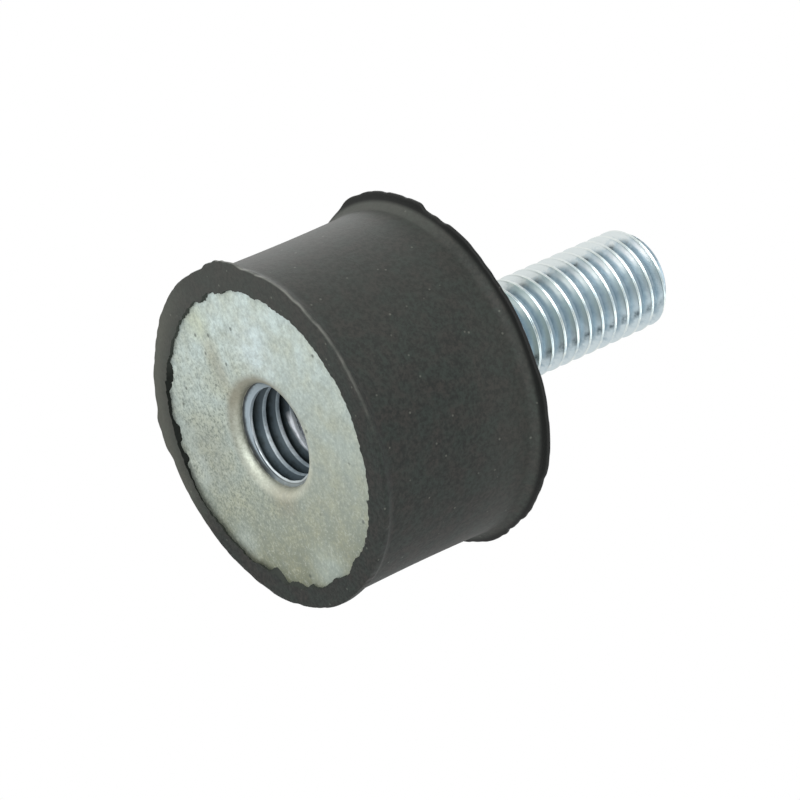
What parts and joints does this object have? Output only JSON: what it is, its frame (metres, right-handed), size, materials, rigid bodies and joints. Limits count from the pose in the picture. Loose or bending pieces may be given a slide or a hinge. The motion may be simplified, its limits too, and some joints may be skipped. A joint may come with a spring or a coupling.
{
  "type": "rubber buffer",
  "caption": "Cylindrical rubber buffer bonded between two steel plates, with a threaded hole at one end and a threaded stud at the other.",
  "frame": {"origin": "centre of the front rubber rim, on the plane that the buffer stands on", "axes": "+Z along the buffer's axis, from the threaded hole's end to the stud's tip; +X roughly opposite the long flash tab on the rear lip"},
  "size_m": [0.027, 0.0268, 0.0361],
  "materials": {
    "rubber": "matte moulded natural rubber, dusty",
    "zinc_plate": "dull zinc plating, mottled",
    "zinc_stud": "bright bluish zinc plating"
  },
  "bodies": {
    "root": {"rubber_body": "rubber", "threaded_plate": "zinc_plate", "rear_plate": "zinc_plate", "threaded_stud": "zinc_stud"}
  },
  "joints": []
}
